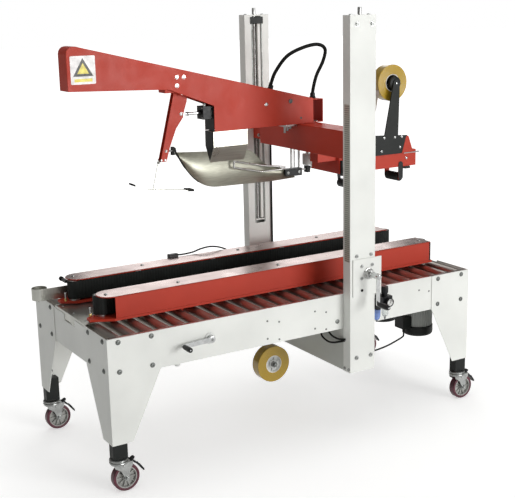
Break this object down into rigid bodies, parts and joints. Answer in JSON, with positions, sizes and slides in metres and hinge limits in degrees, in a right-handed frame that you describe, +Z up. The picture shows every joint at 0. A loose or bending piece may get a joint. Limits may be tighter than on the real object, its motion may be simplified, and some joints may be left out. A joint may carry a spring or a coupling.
{
  "type": "carton sealing machine",
  "caption": "Floor-standing carton sealer: roller bed on casters, two side belts, height-adjustable flap-folding arm, tape heads above and below.",
  "frame": {"origin": "on the floor, in the middle of the machine's outline seen from above", "axes": "+X is the way the carton travels, from infeed to outfeed; +Y is across the bed, away from the two cranks; +Z is up"},
  "size_m": [1.9087, 1.0054, 1.79],
  "materials": {
    "air_regulator": "moulded",
    "arm_shoe": "brushed",
    "belt_base_far": "semi-gloss paint",
    "belt_base_near": "semi-gloss paint",
    "belt_cover_far": "semi-gloss paint",
    "belt_cover_near": "semi-gloss paint",
    "belt_motor_far": "cast, painted",
    "belt_motor_near": "cast, painted",
    "belt_pulley_infeed_far": "turned",
    "belt_pulley_infeed_near": "turned",
    "belt_pulley_outfeed_far": "turned",
    "belt_pulley_outfeed_near": "turned",
    "caster_brake_infeed_far": "moulded",
    "caster_brake_infeed_near": "moulded",
    "caster_brake_outfeed_far": "moulded",
    "caster_brake_outfeed_near": "moulded",
    "caster_fork_infeed_far": "zinc plated",
    "caster_fork_infeed_near": "zinc plated",
    "caster_fork_outfeed_far": "zinc plated",
    "caster_fork_outfeed_near": "zinc plated",
    "caster_wheel_infeed_far": "moulded polyurethane",
    "caster_wheel_infeed_near": "moulded polyurethane",
    "caster_wheel_outfeed_far": "moulded polyurethane",
    "caster_wheel_outfeed_near": "moulded polyurethane",
    "column_channel": "satin paint",
    "column_far": "smooth powder coat",
    "column_near": "smooth powder coat",
    "conduit": "matt",
    "cross_beam": "semi-gloss paint",
    "drive_belt_far": "ribbed matt",
    "drive_belt_near": "ribbed matt",
    "end_panel_infeed": "smooth powder coat",
    "end_panel_outfeed": "smooth powder coat",
    "fold_arm": "semi-gloss paint",
    "height_crank": "polished",
    "infeed_guide": "brushed",
    "kicker": "semi-gloss paint",
    "kicker_cylinder": "moulded",
    "leg_infeed_far": "smooth powder coat",
    "leg_infeed_near": "smooth powder coat",
    "leg_outfeed_far": "smooth powder coat",
    "leg_outfeed_near": "smooth powder coat",
    "leg_tube_infeed_far": "satin paint",
    "leg_tube_infeed_near": "satin paint",
    "leg_tube_outfeed_far": "satin paint",
    "leg_tube_outfeed_near": "satin paint",
    "lift_bracket": "smooth powder coat",
    "lift_screw_far": "turned",
    "lift_screw_near": "turned",
    "lower_tape_frame": "turned",
    "press_roller": "matt",
    "roller_bed": "brushed",
    "side_beam_far": "smooth powder coat",
    "side_beam_near": "smooth powder coat",
    "side_plough": "brushed",
    "tape_arm": "satin paint",
    "tape_roll_lower": "glossy film",
    "tape_roll_upper": "glossy film",
    "upper_tape_frame": "semi-gloss paint",
    "width_crank": "polished"
  },
  "bodies": {
    "frame": {"side_beam_near": "side_beam_near", "side_beam_far": "side_beam_far", "end_panel_infeed": "end_panel_infeed", "end_panel_outfeed": "end_panel_outfeed", "leg_infeed_near": "leg_infeed_near", "leg_infeed_far": "leg_infeed_far", "leg_outfeed_near": "leg_outfeed_near", "leg_outfeed_far": "leg_outfeed_far", "leg_tube_infeed_near": "leg_tube_infeed_near", "leg_tube_infeed_far": "leg_tube_infeed_far", "leg_tube_outfeed_near": "leg_tube_outfeed_near", "leg_tube_outfeed_far": "leg_tube_outfeed_far", "column_near": "column_near", "column_far": "column_far", "column_channel": "column_channel", "lift_bracket": "lift_bracket", "roller_bed": "roller_bed", "lower_tape_frame": "lower_tape_frame", "air_regulator": "air_regulator"},
    "folding_head": {"cross_beam": "cross_beam", "fold_arm": "fold_arm", "arm_shoe": "arm_shoe", "kicker_cylinder": "kicker_cylinder", "side_plough": "side_plough", "upper_tape_frame": "upper_tape_frame", "tape_arm": "tape_arm", "conduit": "conduit"},
    "kicker_leg": {"kicker": "kicker"},
    "press_wheel": {"press_roller": "press_roller"},
    "upper_roll": {"tape_roll_upper": "tape_roll_upper"},
    "lower_roll": {"tape_roll_lower": "tape_roll_lower"},
    "lift_screw_near_body": {"lift_screw_near": "lift_screw_near"},
    "lift_screw_far_body": {"lift_screw_far": "lift_screw_far"},
    "height_handle": {"height_crank": "height_crank"},
    "width_handle": {"width_crank": "width_crank"},
    "belt_unit_near": {"belt_base_near": "belt_base_near", "drive_belt_near": "drive_belt_near", "belt_cover_near": "belt_cover_near", "belt_motor_near": "belt_motor_near"},
    "belt_unit_far": {"belt_base_far": "belt_base_far", "drive_belt_far": "drive_belt_far", "belt_cover_far": "belt_cover_far", "belt_motor_far": "belt_motor_far", "infeed_guide": "infeed_guide"},
    "pulley_infeed_near": {"belt_pulley_infeed_near": "belt_pulley_infeed_near"},
    "pulley_outfeed_near": {"belt_pulley_outfeed_near": "belt_pulley_outfeed_near"},
    "pulley_infeed_far": {"belt_pulley_infeed_far": "belt_pulley_infeed_far"},
    "pulley_outfeed_far": {"belt_pulley_outfeed_far": "belt_pulley_outfeed_far"},
    "fork_infeed_near": {"caster_fork_infeed_near": "caster_fork_infeed_near"},
    "wheel_infeed_near": {"caster_wheel_infeed_near": "caster_wheel_infeed_near"},
    "brake_infeed_near": {"caster_brake_infeed_near": "caster_brake_infeed_near"},
    "fork_outfeed_near": {"caster_fork_outfeed_near": "caster_fork_outfeed_near"},
    "wheel_outfeed_near": {"caster_wheel_outfeed_near": "caster_wheel_outfeed_near"},
    "brake_outfeed_near": {"caster_brake_outfeed_near": "caster_brake_outfeed_near"},
    "fork_infeed_far": {"caster_fork_infeed_far": "caster_fork_infeed_far"},
    "wheel_infeed_far": {"caster_wheel_infeed_far": "caster_wheel_infeed_far"},
    "brake_infeed_far": {"caster_brake_infeed_far": "caster_brake_infeed_far"},
    "fork_outfeed_far": {"caster_fork_outfeed_far": "caster_fork_outfeed_far"},
    "wheel_outfeed_far": {"caster_wheel_outfeed_far": "caster_wheel_outfeed_far"},
    "brake_outfeed_far": {"caster_brake_outfeed_far": "caster_brake_outfeed_far"}
  },
  "joints": [
    {"name": "head_lift", "type": "slide", "parent": "frame", "child": "folding_head", "axis": [0, 0, 1], "range_m": [-0.25, 0.4]},
    {"name": "width_near", "type": "slide", "parent": "frame", "child": "belt_unit_near", "axis": [0, -1, 0], "range_m": [-0.045, 0.14]},
    {"name": "width_far", "type": "slide", "parent": "frame", "child": "belt_unit_far", "axis": [0, 1, 0], "range_m": [-0.045, 0.14]},
    {"name": "lift_screw_near_turn", "type": "hinge", "parent": "frame", "child": "lift_screw_near_body", "pos_m": [0.252, -0.33265, 1], "axis": [0, 0, 1], "range_deg": [-9001, 14401]},
    {"name": "lift_screw_far_turn", "type": "hinge", "parent": "frame", "child": "lift_screw_far_body", "pos_m": [0.252, 0.47735, 1], "axis": [0, 0, 1], "range_deg": [-9001, 14401]},
    {"name": "height_crank_turn", "type": "hinge", "parent": "frame", "child": "height_handle", "pos_m": [0.2787, -0.43165, 0.705], "axis": [0, -1, 0], "range_deg": [-9001, 14401]},
    {"name": "width_crank_turn", "type": "hinge", "parent": "frame", "child": "width_handle", "pos_m": [-0.4524, -0.32965, 0.545], "axis": [0, -1, 0], "range_deg": [-1621, 5041]},
    {"name": "kicker_swing", "type": "hinge", "parent": "folding_head", "child": "kicker_leg", "pos_m": [-0.358, 0.07235, 1.466], "axis": [0, 1, 0], "range_deg": [0, 30]},
    {"name": "press_roller_spin", "type": "hinge", "parent": "folding_head", "child": "press_wheel", "pos_m": [0.755, 0.07235, 1.012], "axis": [0, 1, 0], "continuous": true},
    {"name": "upper_roll_spin", "type": "hinge", "parent": "folding_head", "child": "upper_roll", "pos_m": [0.724, 0.07235, 1.445], "axis": [0, 1, 0], "continuous": true},
    {"name": "lower_roll_spin", "type": "hinge", "parent": "frame", "child": "lower_roll", "pos_m": [0.06, 0.07235, 0.228], "axis": [0, 1, 0], "continuous": true},
    {"name": "pulley_infeed_near_spin", "type": "hinge", "parent": "belt_unit_near", "child": "pulley_infeed_near", "pos_m": [-0.8, -0.06165, 0.64], "axis": [0, 0, 1], "continuous": true},
    {"name": "pulley_outfeed_near_spin", "type": "hinge", "parent": "belt_unit_near", "child": "pulley_outfeed_near", "pos_m": [0.8, -0.06165, 0.64], "axis": [0, 0, 1], "continuous": true},
    {"name": "pulley_infeed_far_spin", "type": "hinge", "parent": "belt_unit_far", "child": "pulley_infeed_far", "pos_m": [-0.8, 0.20635, 0.64], "axis": [0, 0, 1], "continuous": true},
    {"name": "pulley_outfeed_far_spin", "type": "hinge", "parent": "belt_unit_far", "child": "pulley_outfeed_far", "pos_m": [0.8, 0.20635, 0.64], "axis": [0, 0, 1], "continuous": true},
    {"name": "caster_infeed_near_swivel", "type": "hinge", "parent": "frame", "child": "fork_infeed_near", "pos_m": [-0.8517, -0.28835, 0.137], "axis": [0, 0, 1], "continuous": true},
    {"name": "caster_infeed_near_roll", "type": "hinge", "parent": "fork_infeed_near", "child": "wheel_infeed_near", "pos_m": [-0.8302, -0.28835, 0.055], "axis": [0, 1, 0], "continuous": true},
    {"name": "caster_infeed_near_brake", "type": "hinge", "parent": "fork_infeed_near", "child": "brake_infeed_near", "pos_m": [-0.8027, -0.28835, 0.118], "axis": [0, 1, 0], "range_deg": [0, 8]},
    {"name": "caster_outfeed_near_swivel", "type": "hinge", "parent": "frame", "child": "fork_outfeed_near", "pos_m": [0.8517, -0.28835, 0.137], "axis": [0, 0, 1], "continuous": true},
    {"name": "caster_outfeed_near_roll", "type": "hinge", "parent": "fork_outfeed_near", "child": "wheel_outfeed_near", "pos_m": [0.8732, -0.28835, 0.055], "axis": [0, 1, 0], "continuous": true},
    {"name": "caster_outfeed_near_brake", "type": "hinge", "parent": "fork_outfeed_near", "child": "brake_outfeed_near", "pos_m": [0.9007, -0.28835, 0.118], "axis": [0, 1, 0], "range_deg": [0, 8]},
    {"name": "caster_infeed_far_swivel", "type": "hinge", "parent": "frame", "child": "fork_infeed_far", "pos_m": [-0.8517, 0.43305, 0.137], "axis": [0, 0, 1], "continuous": true},
    {"name": "caster_infeed_far_roll", "type": "hinge", "parent": "fork_infeed_far", "child": "wheel_infeed_far", "pos_m": [-0.8302, 0.43305, 0.055], "axis": [0, 1, 0], "continuous": true},
    {"name": "caster_infeed_far_brake", "type": "hinge", "parent": "fork_infeed_far", "child": "brake_infeed_far", "pos_m": [-0.8027, 0.43305, 0.118], "axis": [0, 1, 0], "range_deg": [0, 8]},
    {"name": "caster_outfeed_far_swivel", "type": "hinge", "parent": "frame", "child": "fork_outfeed_far", "pos_m": [0.8517, 0.43305, 0.137], "axis": [0, 0, 1], "continuous": true},
    {"name": "caster_outfeed_far_roll", "type": "hinge", "parent": "fork_outfeed_far", "child": "wheel_outfeed_far", "pos_m": [0.8732, 0.43305, 0.055], "axis": [0, 1, 0], "continuous": true},
    {"name": "caster_outfeed_far_brake", "type": "hinge", "parent": "fork_outfeed_far", "child": "brake_outfeed_far", "pos_m": [0.9007, 0.43305, 0.118], "axis": [0, 1, 0], "range_deg": [0, 8]}
  ],
  "couplings": [
    {"joint": "width_far", "follows": "width_near", "ratio": 1},
    {"joint": "width_crank_turn", "follows": "width_near", "rad_per_m": 628.32},
    {"joint": "lift_screw_near_turn", "follows": "head_lift", "rad_per_m": 628.32},
    {"joint": "lift_screw_far_turn", "follows": "head_lift", "rad_per_m": 628.32},
    {"joint": "height_crank_turn", "follows": "head_lift", "rad_per_m": 628.32},
    {"joint": "pulley_infeed_near_spin", "follows": "pulley_outfeed_near_spin", "ratio": 1},
    {"joint": "pulley_infeed_far_spin", "follows": "pulley_outfeed_far_spin", "ratio": 1}
  ]
}
